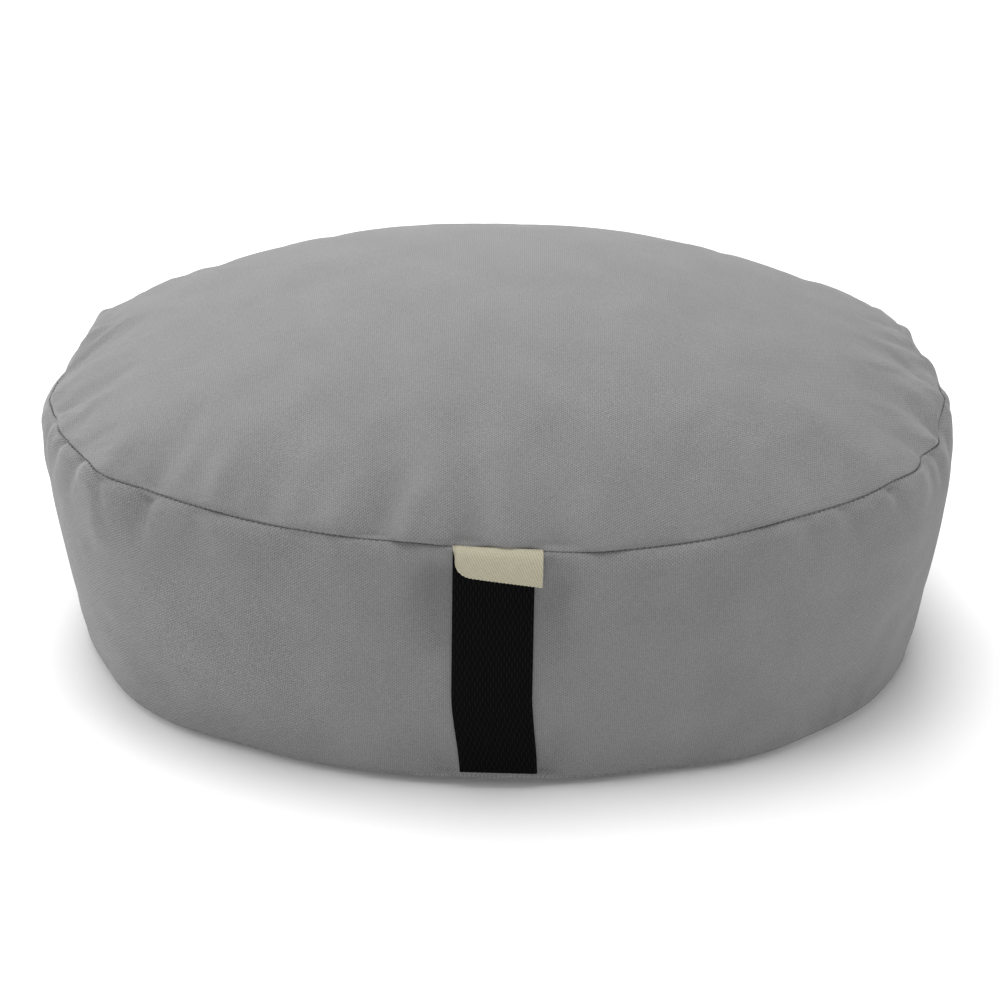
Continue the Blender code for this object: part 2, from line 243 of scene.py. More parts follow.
# Folds and puckers, softer and finer than on the solid, each the values of a Crease: two in
# degrees, then four in metres. A ridge has a depth over 0.
CREASE_AT_SEAM = 0.4  # the part of its depth a fold has at the seam itself
CREASE_RISE = 0.0035
CREASE_WIDTH_AT_SEAM = 0.8
CREASE_WIDENING = 0.6
CROWN_CREASES = (
    # The front
    (-109, 3, 0.004, 0.06, 0.008, 0.0026),
    (-103.3, 2, 0.002, 0.06, 0.006, -0.0042),
    (-99.9, 1, 0.002, 0.06, 0.0052, 0.005),
    (-96.5, 1, 0.003, 0.055, 0.0042, 0.0036),
    (-93.2, 0, 0.003, 0.055, 0.005, -0.0048),
    (-89.3, -1, 0.002, 0.07, 0.005, 0.005),
    (-84.5, 0, 0.003, 0.06, 0.007, -0.005),
    (-79, 1, 0.002, 0.055, 0.006, 0.003),
    (-66, 2, 0.005, 0.055, 0.008, -0.002),
    (-57, 3, 0.002, 0.055, 0.007, 0.0018),
    # The left end
    (-118, -3, 0.005, 0.055, 0.008, -0.0024),
    (-126, -6, 0.003, 0.06, 0.008, 0.0026),
    (-137, -5, 0.003, 0.055, 0.008, -0.0022),
    (-146.5, -5, 0, 0.045, 0.007, 0.0014),
    (-158, 3, 0.006, 0.055, 0.008, 0.0012),
    (-164.5, -4, 0, 0.06, 0.0075, 0.0018),
    (-167.3, 0, 0, 0.016, 0.0045, 0.002),
    (-169.3, 0, 0.006, 0.045, 0.006, -0.0018),
    (-175.5, -12, 0, 0.07, 0.0095, 0.0023),
    (179, -14, 0.002, 0.05, 0.0085, -0.0016),
    (169, -4, 0, 0.05, 0.008, 0.0012),
    # The right end
    (27, 6, 0.004, 0.055, 0.0065, 0.0008),
    (18, 11, 0.002, 0.05, 0.008, -0.0013),
    (12.5, 6, 0.003, 0.055, 0.006, 0.0014),
    (6.5, 4, 0.003, 0.07, 0.0075, 0.0019),
    (-2, 15, 0, 0.045, 0.006, -0.0024),
    (-5, 7, 0, 0.04, 0.005, 0.0014),
    (-9.8, 9, 0, 0.036, 0.0045, 0.0015),
    (-13.5, 10, 0.003, 0.038, 0.006, -0.0016),
    (-16.5, 1, 0.002, 0.026, 0.007, 0.002),
    (-22, 2, 0, 0.025, 0.005, -0.0014),
    # The back, by the same make
    (32, 4, 0, 0.05, 0.005, 0.0004),
    (146, -4, 0, 0.05, 0.005, 0.0004),
    (113, -1, 0, 0.045, 0.006, 0.0004),
)
BAND_CREASES = (
    # Under the left of the top seam
    (-95.8, 0, 0.018, 0.095, 0.0076, -0.0134),
    (-113, 1, 0.002, 0.035, 0.009, -0.0018),
    (-129, 1, 0.003, 0.036, 0.007, -0.003),
    (-137.8, -2, 0.003, 0.034, 0.0052, -0.0062),
    (-142.5, 0, 0.001, 0.026, 0.004, 0.0012),
    (-147.0, 2, 0.002, 0.038, 0.005, -0.003),
    (-150.6, -2, 0, 0.019, 0.0034, 0.0015),
    (-153.4, -4, 0.001, 0.028, 0.0042, -0.003),
    (-157.4, -3, 0.001, 0.026, 0.0055, 0.0003),
    (-161.0, -5, 0.001, 0.032, 0.0042, -0.0032),
    (-166.3, -1, 0, 0.026, 0.0038, 0.0016),
    (-173, 0, 0.002, 0.04, 0.008, 0.0012),
    # Under the right of the top seam
    (-85.2, 0, 0.018, 0.095, 0.0072, -0.0117),
    (-61, 0, 0.003, 0.035, 0.009, -0.0015),
    (-51.5, 2, 0.002, 0.03, 0.0045, -0.002),
    (-44.5, 4, 0.002, 0.034, 0.0042, -0.003),
    (-47.3, 3, 0.001, 0.026, 0.0028, 0.0009),
    (-38.0, 5, 0.001, 0.028, 0.003, 0.0012),
    (-34.8, 5, 0.002, 0.034, 0.0044, -0.0044),
    (-26, 0, 0.002, 0.036, 0.007, 0.0012),
    (-21.8, 3, 0.001, 0.024, 0.0026, 0.002),
    (-18.3, 2, 0.002, 0.03, 0.0042, -0.0028),
    (-10, 5, 0.004, 0.026, 0.0032, 0.0014),
    (-4, 2, 0.002, 0.032, 0.005, -0.0022),
    # The back
    (25.5, -2, 0.004, 0.04, 0.005, -0.0024),
    (37, 3, 0.004, 0.045, 0.005, -0.0024),
    (76, 1, 0, 0.04, 0.007, -0.0012),
    (118, -2, 0, 0.045, 0.006, -0.0015),
    (139, -3, 0, 0.045, 0.005, -0.0022),
    (152, 2, 0.004, 0.04, 0.004, -0.0026),
    # The shoulder, which stands out past the edge of the crown
    (42, 0, 0, 0.03, 0.014, 0.0026),
    (31, 0, 0, 0.03, 0.013, 0.003),
    (20, 0, 0, 0.03, 0.012, 0.0032),
    (9, 0, 0, 0.03, 0.012, 0.0026),
    (147, 0, 0, 0.03, 0.014, 0.0018),
    (157, 0, 0, 0.03, 0.01, 0.0024),
)
HEEL_CREASES = (
    # In the band over the bottom seam
    (-95.2, -2, 0.003, 0.042, 0.0045, -0.005),
    (-85.4, 2, 0.003, 0.042, 0.0045, -0.0055),
    (-48, -2, 0, 0.035, 0.004, 0.001),
    (-40, 1, 0, 0.035, 0.004, 0.001),
    (-34, 2, 0, 0.035, 0.004, 0.001),
)

# Weaves: what each shader is set to, pitches in metres, and the darkest and lightest tone of a yarn
WALE_PITCH = 0.001
PICK_PITCH = 0.00068
CANVAS_LOOK = {
    "Roughness": 0.92,
    "Sheen Weight": 0.16,
    "Sheen Roughness": 0.45,
    "Specular IOR Level": 0.2,
}
CANVAS_WANDER = (0.001, 0.0008)  # how far its yarns stray along and across
CANVAS_TONES = (0.045, 0.305)
CANVAS_MOTTLE = (-0.05, 0.03)  # how far its tone goes down and up in large soft patches
# Painted shade: near a seam the cloth's colour goes to this flat grey, a little darker than the cloth, for
# the shade in the seam's groove
CANVAS_SEAM_SHADE_TONE = 0.17
CANVAS_SEAM_SHADE_REACH = 0.0005  # how far from a seam the painted shade of the seam's groove goes
WEBBING_LOOK = {"Roughness": 0.75, "Specular IOR Level": 0.03}
SUNK_SHADE = 0.2  # painted shade: the tone of a strand where it goes under, as a share
# The darkest of these tones is painted shade, between the strands and where they go under
WEBBING_TONES = ((0.00004, 0.00004, 0.00008, 1), (0.007, 0.0067, 0.0073, 1))
TAPE_LOOK = {"Roughness": 0.8, "Sheen Weight": 0.15, "Specular IOR Level": 0.3}
TAPE_RIB_PITCH = 0.00125
TAPE_PICK_PITCH = 0.0005
TAPE_SLANT = 0.55
TAPE_WANDER = 0.004
TAPE_TONES = ((0.25, 0.235, 0.168, 1), (0.46, 0.432, 0.322, 1))
THREAD_LOOK = {"Roughness": 0.8}
# The thread is real, and its dark grey also stands for the shade in the gaps of the seam: partly painted
# shade
THREAD_AND_SHADE_TONES = (0.06, 0.11)
FLOOR_LOOK = {"Roughness": 0.9}
FLOOR_TONES = (0.88, 0.9)
FLOOR_HALF = 20.0

# Camera and light
VIEW_DISTANCE = 2.0
VIEW_ELEVATION = math.radians(27.28)
VIEW_ROLL = math.radians(0.92)
VIEW_AIM = (-0.0004, 0, 0.0689)
SENSOR = 36
LENS = 3.9351 * SENSOR  # the focal length in picture widths, times the sensor's width
WORLD_LIGHT = 0.04
LIGHT_AIM = (0, 0, 0.08)
LIGHTS = (  # name, place in metres, size in metres, watts
    ("top_light", (0, 0, 2.3), (1.4, 1.4), 46),
    ("back_light", (-0.44, 2.9, 1.71), (2.3, 1.45), 65),
    ("back_left_light", (-2.18, 2.18, 1.71), (2.0, 1.45), 42),
    ("left_light", (-3.2, 0, 1.4), (3.4, 2.2), 66),
    ("right_light", (3.2, 0, 1.27), (2.0, 1.45), 39.5),
    ("front_light", (0, -3.2, 0.84), (2.0, 1.45), 43.5),
)


def power(value, exponent):
    return np.sign(value) * np.abs(value) ** exponent


def bell(distance, reach):
    return np.exp(-((distance / reach) ** 2))


def smooth(value):
    value = np.clip(value, 0.0, 1.0)
    return value * value * (3 - 2 * value)


def turn_between(angle, middle):
    """The signed turn in degrees from middle to angle, by the short way."""
    return (np.degrees(angle) - middle + 180) % 360 - 180


def length_of(vectors):
    return np.sqrt((vectors**2).sum(axis=-1))


def unit(vectors):
    return vectors / length_of(vectors)[..., None]


def upright(values):
    """Vectors that point up by these values."""
    return np.multiply.outer(values, (0.0, 0.0, 1.0))


def pulled(pulls, angle):
    """How far a seam is let out and lifted at each angle."""
    out = 0 * angle
    up = 0 * angle
    for row in pulls:
        pull = Pull(*row)
        share = bell(turn_between(angle, pull.angle), pull.reach)
        out = out + pull.out * share
        up = up + pull.up * share
    return out, up


def foot_pull(angle):
    """How far the bottom seam is let out at each angle, and its height."""
    out, up = pulled(FOOT_PULLS, angle)
    return out, FOOT_HEIGHT - FOOT_DROP + up


def seam_cusp(angle, share_off, reach):
    """How far the cusps draw the cloth out and up, at a share of the panel away from the seam."""
    out = 0 * angle
    up = 0 * angle
    fade = bell(share_off, reach)
    for row in SEAM_CUSPS:
        cusp = Pull(*row)
        share = np.exp(-np.abs(turn_between(angle, cusp.angle)) / cusp.reach) * fade
        out = out + cusp.out * share
        up = up + cusp.up * share
    return out, up


def plan(angle):
    """Points of the seam's plan before any pull, and the plan's outward normals."""
    c = np.cos(angle)
    s = np.sin(angle)
    flat = 0 * angle
    x = SEAM_HALF_LENGTH * power(c, 2 / PLAN_POWER)
    y = SEAM_HALF_DEPTH * power(s, 2 / PLAN_POWER)
    rise = 2 - 2 / PLAN_POWER
    outward = np.stack([power(c, rise) / SEAM_HALF_LENGTH, power(s, rise) / SEAM_HALF_DEPTH, flat], -1)
    return np.stack([x, y, flat], -1), unit(outward)


def foot_point(angle, share):
    """The bottom panel. Its flat part is inside share 0."""
    point, outward = plan(angle)
    out, foot_height = foot_pull(angle)
    turn = share * math.pi / 2
    grow = FOOT_ROUND * (np.sin(turn) - 1) - FOOT_INSET + out
    return point + outward * grow[..., None] + upright(foot_height * (1 - np.cos(turn)))


def band_grow(angle, height, foot_height, seam_height):
    """How far the band stands out past the plan of the top seam at a height."""
    bulge = FRONT_BULGE + (END_BULGE - FRONT_BULGE) * np.cos(angle) ** 2
    full_height = seam_height - BULGE_DROP
    climb = np.clip((height - foot_height) / (full_height - foot_height), 0, 1)
    below = (bulge + FOOT_INSET) * np.sin(climb * math.pi / 2) - FOOT_INSET
    roll = np.clip((height - full_height) / BULGE_DROP, 0, 1)
    above = bulge * (1 - roll**ROLL_POWER)
    return np.where(height < full_height, below, above)


def band_point(angle, share):
    point, outward = plan(angle)
    out, up = pulled(SEAM_PULLS, angle)
    cusp_out, cusp_up = seam_cusp(angle, 1 - share, BAND_CUSP_FADE)
    foot_out, foot_height = foot_pull(angle)
    seam_height = SEAM_HEIGHT + up
    height = foot_height + (seam_height - foot_height) * share
    grow = band_grow(angle, height, foot_height, seam_height) + out * share * share + cusp_out
    grow = grow + foot_out * (1 - share) ** 2
    return point + outward * grow[..., None] + upright(height + cusp_up)


def crown_point(angle, share):
    point, outward = plan(angle)
    out, up = pulled(SEAM_PULLS, angle)
    cusp_out, cusp_up = seam_cusp(angle, share, CROWN_CUSP_FADE)
    fade = bell(share, PULL_FADE)
    turn = share * math.pi / 2
    slack = np.cos(angle) ** 2
    crown_power = CROWN_POWER + (END_CROWN_POWER - CROWN_POWER) * slack
    rise = np.sin(turn) ** (2 / crown_power)
    height = SEAM_HEIGHT + (HEIGHT - SEAM_HEIGHT) * rise + up * fade + cusp_up
    grow = out * fade + cusp_out
    return point * np.cos(turn)[..., None] + outward * grow[..., None] + upright(height)


PANELS = {"foot": foot_point, "band": band_point, "crown": crown_point}


def outward_at(panel, angle, share):
    """The outward normals of a panel, from points close by on the same panel."""
    place = PANELS[panel]
    across = place(angle + STEP, share) - place(angle - STEP, share)
    upward = place(angle, np.minimum(share + STEP, 1)) - place(angle, np.maximum(share - STEP, 0))
    return unit(np.cross(across, upward))


def crease_height(crease, angle, run, spread):
    """How far one crease lifts points of its panel. spread is metres for each radian there."""
    along = np.minimum(run / crease.length, 1.0)
    middle = crease.angle + crease.turn * along
    across = np.radians(turn_between(angle, middle)) * spread
    if crease.start:
        begins = smooth(run / crease.start)
    else:
        begins = CREASE_AT_SEAM + (1 - CREASE_AT_SEAM) * smooth(run / CREASE_RISE)
    width = crease.width * (CREASE_WIDTH_AT_SEAM + CREASE_WIDENING * along)
    return crease.depth * bell(across, width) * begins * (1 - smooth(along))


def relief(panel, angle, share):
    """How far the creases lift each point of the crown or the band along its normal."""
    point = PANELS[panel](angle, share)
    spread = length_of(point[..., :2])
    run = length_of(point - crown_point(angle, 0 * angle))
    lift = 0 * angle
    for row in CROWN_CREASES if panel == "crown" else BAND_CREASES:
        lift = lift + crease_height(Crease(*row), angle, run, spread)
    if panel == "band":
        climb = length_of(point - band_point(angle, 0 * angle))
        for row in HEEL_CREASES:
            lift = lift + crease_height(Crease(*row), angle, climb, spread)
    return lift


def skin_point(panel, angle, share):
    """Points of the crown or the band, with its folds."""
    point = PANELS[panel](angle, share)
    return point + outward_at(panel, angle, share) * relief(panel, angle, share)[..., None]


def share_off_seam(panel, angle, distance, seam_share):
    """The shares of a panel at a straight distance from one of its seams, at each angle."""
    place = PANELS[panel]
    seam = place(angle, 0 * angle + seam_share)
    near = 0 * angle + seam_share
    far = 0 * angle + 0.5
    for _ in range(HALVINGS):
        middle = (near + far) / 2
        short = length_of(place(angle, middle) - seam) < distance
        near = np.where(short, middle, near)
        far = np.where(short, far, middle)
    return (near + far) / 2


def roll_sink(distance, depth):
    """How deep a panel has sunk into its seam: a gentle fall, then a quarter of an ellipse."""
    inside = np.clip(1 - distance / ROLL_HALF, 0, 1)
    near = np.clip(1 - distance / EASE_RUN, 0, 1)
    return depth * (1 - math.sqrt(1 - inside * inside)) + EASE_DEPTH * near * near


def rolled(points, angle, distance, depth, fall):
    """Points drawn in towards a seam that is a distance away."""
    inward = -plan(angle)[1]
    inward[..., 2] = -fall
    return points + unit(inward) * roll_sink(distance, depth)


def ring_angles(count):
    """Angles round the plan, which stand closer at its two ends."""
    turns = 2 * math.pi * np.arange(count) / count
    return turns - END_CROWDING * np.sin(2 * turns) / 2


def closed(values):
    """A ring's values with the first one repeated at its end."""
    return np.concatenate([values, values[:1]])


def runs_along(points):
    """The run along a closed ring to each of its points, and at the end its whole length."""
    ring = closed(points)
    return np.append(0, np.cumsum(length_of(ring[1:] - ring[:-1])))


class CoverMesh:
    """The cover's points and quads. Each corner has its place in the cloth, its distance from
    the nearest seam and its run along that seam, all in metres."""

    def __init__(self, angles, runs):
        self.angles = angles
        self.runs = runs
        self.points = []
        self.gaps = []
        self.faces = []
        self.corners = []

    def add_ring(self, points, cloth, gap):
        """Adds a ring. Its cloth may have one more entry than its points, where the cloth ends."""
        first = sum(len(ring) for ring in self.points)
        self.points.append(points)
        self.gaps.append(np.full(len(points), gap))
        if len(cloth) == len(points):
            cloth = closed(cloth)
        runs = self.runs if len(cloth) == len(self.runs) else np.zeros(len(cloth))
        gaps = np.full(len(cloth), gap)
        return Loop(first + np.arange(len(points)), np.column_stack([cloth, gaps, runs]))

    def add_faces(self, loops_and_places):
        """Adds faces from pairs of a loop and places on it. A place may be one past the end."""
        ids = [loop.ids[place % len(loop.ids)] for loop, place in loops_and_places]
        corners = [loop.cloth[place] for loop, place in loops_and_places]
        self.faces.extend(np.stack(ids, 1).tolist())
        self.corners.append(np.stack(corners, 1).reshape(-1, 4))

    def bridge(self, lower, upper):
        here = np.arange(COLUMNS)
        self.add_faces([(lower, here), (lower, here + 1), (upper, here + 1), (upper, here)])

    def bridge_to_half(self, inner, outer):
        """Five-sided faces between a ring and one inside it that has half as many points."""
        here = np.arange(len(inner.ids))
        outer_places = [(outer, 2 * here + shift) for shift in (2, 1, 0)]
        self.add_faces([(inner, here), (inner, here + 1)] + outer_places)


def ring_place(a, b):
    """The ring of a point in a square grid, and its place round that ring from the +X side."""
    k = max(abs(a), abs(b))
    if a == k:
        return k, b % (8 * k) if k else 0
    if b == k:
        return k, 2 * k - a
    if a == -k:
        return k, 4 * k - b
    return k, 6 * k + a


def cell_corners(grid):
    """What a grid holds at the four corners of each of its cells."""
    return np.stack([grid[:-1, :-1], grid[1:, :-1], grid[1:, 1:], grid[:-1, 1:]], 2)


def fill_with_grid(cover, rings):
    """Fills a panel with a square grid bent to rings, from its middle out to its edge ring."""
    side = 2 * GRID_HALF + 1
    ids = np.empty((side, side), int)
    corners = np.empty((side, side, 4))
    for a in range(-GRID_HALF, GRID_HALF + 1):
        for b in range(-GRID_HALF, GRID_HALF + 1):
            k, place = ring_place(a, b)
            ids[a + GRID_HALF, b + GRID_HALF] = rings[k].ids[place]
            corners[a + GRID_HALF, b + GRID_HALF] = rings[k].cloth[place]
    cover.faces.extend(cell_corners(ids).reshape(-1, 4).tolist())
    cover.corners.append(cell_corners(corners).reshape(-1, 4))


def crown_run(angle, share):
    """The length over the crown from its middle to each point, by short straight steps."""
    total = 0 * angle
    place = crown_point(angle, 0 * angle + 1)
    for step in range(1, CROWN_RUN_STEPS + 1):
        after = crown_point(angle, 1 - (1 - share) * step / CROWN_RUN_STEPS)
        total = total + length_of(after - place)
        place = after
    return total


def crown_cloth(angle, share, points):
    """Places in the top panel's cloth, which lies flat at the middle and spreads from there."""
    away = np.maximum(length_of(points[:, :2]), SMALLEST)
    return points[:, :2] * (crown_run(angle, share) / away)[:, None]


def add_crown(cover, seam):
    """The top panel, from the top seam inwards."""
    angle = cover.angles
    lower = seam
    for distance in SEAM_STEPS:
        edge = share_off_seam("crown", angle, distance, 0)
        points = rolled(skin_point("crown", angle, edge), angle, distance, TOP_DEPTH, CHANNEL_FALL)
        upper = cover.add_ring(points, crown_cloth(angle, edge, points), distance)
        cover.bridge(lower, upper)
        lower = upper
    rings = []
    for k in range(GRID_HALF):
        angles = ring_angles(max(8 * k, 1))
        outer = np.interp(angles, np.append(angle, 2 * math.pi), closed(edge))
        share = 1 - (1 - outer) * k / GRID_HALF
        points = skin_point("crown", angles, share)
        rings.append(cover.add_ring(points, crown_cloth(angles, share, points), FAR_FROM_SEAM))
    fill_with_grid(cover, rings + [lower])


def add_foot(cover, seam):
    """The bottom panel, from the bottom seam inwards."""
    angle = cover.angles
    upper = seam
    for distance in FOOT_STEPS:
        share = share_off_seam("foot", angle, distance, 1)
        points = rolled(foot_point(angle, share), angle, distance, FOOT_DEPTH, -CHANNEL_FALL)
        lower = cover.add_ring(points, points[:, :2], distance)
        cover.bridge(lower, upper)
        upper = lower
    points = foot_point(angle, 0 * angle)
    lower = cover.add_ring(points, points[:, :2], FAR_FROM_SEAM)
    cover.bridge(lower, upper)
    for size in FLAT_RINGS:
        upper = lower
        points = points[::2]
        lower = cover.add_ring(points * size, points[:, :2] * size, FAR_FROM_SEAM)
        cover.bridge_to_half(lower, upper)
    backwards = np.arange(len(lower.ids))[::-1]
    cover.add_faces([(lower, backwards[place : place + 1]) for place in range(len(backwards))])


def add_band(cover, low_seam, top_seam):
    angle = cover.angles
    low_shares = [share_off_seam("band", angle, distance, 0) for distance in SEAM_STEPS]
    top_shares = [share_off_seam("band", angle, distance, 1) for distance in SEAM_STEPS]
    rows = []
    for distance, share in zip(SEAM_STEPS, low_shares):
        points = rolled(skin_point("band", angle, share), angle, distance, FOOT_DEPTH, -CHANNEL_FALL)
        rows.append((points, share, distance))
    for row in range(1, BAND_ROWS):
        share = low_shares[-1] + (top_shares[-1] - low_shares[-1]) * row / BAND_ROWS
        rows.append((skin_point("band", angle, share), share, FAR_FROM_SEAM))
    for distance, share in zip(reversed(SEAM_STEPS), reversed(top_shares)):
        points = rolled(skin_point("band", angle, share), angle, distance, TOP_DEPTH, CHANNEL_FALL)
        rows.append((points, share, distance))
    lower = low_seam
    for points, share, gap in rows:
        upper = cover.add_ring(points, band_cloth(cover, share), gap)
        cover.bridge(lower, upper)
        lower = upper
    cover.bridge(lower, top_seam)


def band_cloth(cover, share):
    """Places in the band's cloth: the run round the band, and the height above the bottom seam."""
    return np.column_stack([cover.runs, closed(share) * (SEAM_HEIGHT - FOOT_HEIGHT)])


def seam_lines(angle):
    """The points of the bottom and the top seam, drawn in."""
    low = rolled(band_point(angle, 0 * angle), angle, 0.0, FOOT_DEPTH, -CHANNEL_FALL)
    top = rolled(skin_point("crown", angle, 0 * angle), angle, 0.0, TOP_DEPTH, CHANNEL_FALL)
    return low, top


def new_piece(name, points, faces, maps, material):
    """A piece from its points and faces, with its cloth coordinates in metres as UV maps."""
    mesh = bpy.data.meshes.new(name)
    mesh.from_pydata([tuple(point) for point in points], [], faces)
    for layer_name, places in maps.items():
        layer = mesh.uv_layers.new(name=layer_name)
        layer.data.foreach_set("uv", np.asarray(places, np.float32).ravel())
    mesh.update()
    mesh.materials.append(material)
    mesh.shade_smooth()
    piece = bpy.data.objects.new(name, mesh)
    bpy.context.scene.collection.objects.link(piece)
    return piece


def crease_seams(mesh, seams):
    """Keeps the seam lines sharp when the mesh is subdivided."""
    on_seam = set()
    for seam in seams:
        on_seam.update(frozenset(pair) for pair in zip(seam, seam[1:] + seam[:1]))
    attribute = mesh.attributes.new("crease_edge", "FLOAT", "EDGE")
    for edge in mesh.edges:
        if frozenset(edge.vertices) in on_seam:
            attribute.data[edge.index].value = 1.0


def held_points(cover):
    """The numbers of the points near a seam, on the floor or under the strap, which stay."""
    points = np.concatenate(cover.points)
    near_seam = np.concatenate(cover.gaps) < HELD_GAP
    low = points[:, 2] < HELD_HEIGHT
    beside = np.abs(points[:, 0] - STRAP_TOP_MIDDLE) < HELD_HALF
    under_strap = beside & (points[:, 1] < 0) & (points[:, 2] < SEAM_HEIGHT)
    return np.flatnonzero(near_seam | low | under_strap)


def at_points(mesh, name):
    """The places or the normals of a mesh's points."""
    values = np.empty(3 * len(mesh.vertices))
    mesh.vertices.foreach_get(name, values)
    return values.reshape(-1, 3)


def averaged(values, ends, rounds):
    """Values on points, averaged with their neighbours' in each round."""
    count = len(values)
    first = np.concatenate([ends[:, 0], ends[:, 1]])
    second = np.concatenate([ends[:, 1], ends[:, 0]])
    neighbours = np.bincount(first, minlength=count)
    for _ in range(rounds):
        total = np.bincount(first, weights=values[second], minlength=count)
        values = 0.5 * values + 0.5 * total / neighbours
    return values


def simulated_places(placed, held):
    """Where a short cloth simulation under pressure from inside takes the points."""
    group = placed.vertex_groups.new(name="held")
    group.add([int(number) for number in held], 1.0, "REPLACE")
    modifier = placed.modifiers.new("filling", "CLOTH")
    for name, value in PRESSED_CLOTH.items():
        setattr(modifier.settings, name, value)
    modifier.settings.effector_weights.gravity = 0
    modifier.point_cache.frame_end = PRESS_FRAMES
    for number in range(1, PRESS_FRAMES + 1):
        bpy.context.scene.frame_set(number)
    shape = placed.evaluated_get(bpy.context.evaluated_depsgraph_get())
    places = at_points(shape.data, "co")
    placed.modifiers.clear()
    placed.vertex_groups.clear()
    bpy.context.scene.frame_set(1)
    return places


def press_out(placed, held):
    """Adds the small wrinkles that the filling gives the cloth between its seams."""
    mesh = placed.data
    before = at_points(mesh, "co")
    normals = at_points(mesh, "normal")
    moved = ((simulated_places(placed, held) - before) * normals).sum(axis=1)
    ends = np.empty(2 * len(mesh.edges), int)
    mesh.edges.foreach_get("vertices", ends)
    detail = moved - averaged(moved, ends.reshape(-1, 2), PRESS_SPREAD)
    detail = PRESS_LIMIT * np.tanh(detail / PRESS_LIMIT)
    detail[held] = 0.0
    mesh.vertices.foreach_set("co", (before + normals * detail[:, None]).ravel())
    mesh.update()


def subdivided(placed):
    modifier = placed.modifiers.new("finer", "SUBSURF")
    modifier.levels = 1
    modifier.render_levels = 1
    modifier.uv_smooth = "NONE"
    shape = placed.evaluated_get(bpy.context.evaluated_depsgraph_get())
    mesh = bpy.data.meshes.new_from_object(shape)
    placed.modifiers.clear()
    placed.data = mesh
    mesh.shade_smooth()


def build_cover(material):
    angles = ring_angles(COLUMNS)
    cover = CoverMesh(angles, runs_along(plan(angles)[0]))
    low, top = seam_lines(angles)
    flat = 0 * angles
    foot_seam = cover.add_ring(low, low[:, :2], 0.0)
    band_low_seam = Loop(foot_seam.ids, foot_seam.cloth.copy())
    band_low_seam.cloth[:, :2] = band_cloth(cover, flat)
    crown_seam = cover.add_ring(top, crown_cloth(angles, flat, top), 0.0)
    band_top_seam = Loop(crown_seam.ids, crown_seam.cloth.copy())
    band_top_seam.cloth[:, :2] = band_cloth(cover, flat + 1)
    add_foot(cover, foot_seam)
    add_band(cover, band_low_seam, band_top_seam)
    add_crown(cover, crown_seam)
    corners = np.concatenate(cover.corners)
    maps = {"cloth": corners[:, :2], "edge": corners[:, 2:]}
    points = np.concatenate(cover.points)
    placed = new_piece("cushion_cover", points, cover.faces, maps, material)
    crease_seams(placed.data, [foot_seam.ids.tolist(), crown_seam.ids.tolist()])
    press_out(placed, held_points(cover))
    subdivided(placed)
    return placed


def tube(points, radii, sides, across, upward):
    """Points and faces of a small closed tube."""
    rings = []
    for point, radius in zip(points, radii):
        for side in range(sides):
            turn = 2 * math.pi * side / sides
            rings.append(point + (across * math.cos(turn) + upward * math.sin(turn)) * radius)
    faces = []
    for ring in range(len(points) - 1):
        for side in range(sides):
            a = ring * sides + side
            b = ring * sides + (side + 1) % sides
            faces.append((a, b, b + sides, a + sides))
    last = (len(points) - 1) * sides
    faces.append(tuple(reversed(range(sides))))
    faces.append(tuple(range(last, last + sides)))
    return rings, faces


def along_ring(run, runs, ring):
    """The value of a closed ring at a run along it."""
    return np.array([np.interp(run, runs, closed(ring[:, axis])) for axis in range(3)])


def one_stitch(start, end, normal):
    """Points and faces of a stitch, which lies a little across its seam."""
    along = end - start
    across = unit(np.cross(normal, along))
    along = along * math.cos(STITCH_TURN) + across * length_of(along) * math.sin(STITCH_TURN)
    across = unit(np.cross(normal, along))
    middle = (start + end) / 2
    points = [middle + along * share for share in STITCH_SHARES]
    radii = [STITCH_HALF * size for size in STITCH_SIZES]
    return tube(points, radii, STITCH_SIDES, across, normal)


def stitch_row(line, outward, points, faces):
    """Adds one stitch after another along a closed seam line."""
    runs = runs_along(line)
    count = round(runs[-1] / STITCH_PITCH)
    for number in range(count):
        middle = number / count * runs[-1]
        start = along_ring((middle - STITCH_LENGTH / 2) % runs[-1], runs, line)
        end = along_ring((middle + STITCH_LENGTH / 2) % runs[-1], runs, line)
        rings, sides = one_stitch(start, end, unit(along_ring(middle, runs, outward)))
        first = len(points)
        points.extend(rings)
        faces.extend(tuple(first + corner for corner in face) for face in sides)


def build_stitches(material):
    """The thread that shows in the top seam. It is dark, so that it also stands for the shade in the
    seam's gaps: partly painted shade.
    """
    angle = ring_angles(4 * COLUMNS)
    top = seam_lines(angle)[1]
    points = []
    faces = []
    outward = plan(angle)[1]
    outward[:, 2] = CHANNEL_FALL
    outward = unit(outward)
    hidden = STITCH_HIDDEN * bell(turn_between(angle, math.degrees(FRONT)), HIDDEN_REACH)
    lift = TOP_DEPTH + EASE_DEPTH - STITCH_SUNK - hidden
    stitch_row(top + outward * lift[:, None], outward, points, faces)
    return new_piece("seam_thread_and_shade", points, faces, {}, material)


def angle_at(x, share):
    """The angles on the front of the band at which its surface has these x."""
    low = 0 * x + FRONT - FRONT_REACH
    high = 0 * x + FRONT + FRONT_REACH
    for _ in range(HALVINGS):
        middle = (low + high) / 2
        left = band_point(middle, share)[..., 0] < x
        low = np.where(left, middle, low)
        high = np.where(left, high, middle)
    return (low + high) / 2


def front_point(x, share, lift):
    """Points in front of the band, which span its folds and follow it into the top channel."""
    angle = angle_at(x, share)
    off_seam = np.maximum((1 - share) * (SEAM_HEIGHT - FOOT_HEIGHT), 0.0)
    depth = TOP_CHANNEL_DEPTH * np.maximum(1 - off_seam / CHANNEL_HALF, 0.0) ** 2
    return band_point(angle, share) + outward_at("band", angle, share) * (lift - depth)[..., None]


def band_share(distance):
    return distance / (SEAM_HEIGHT - FOOT_HEIGHT)


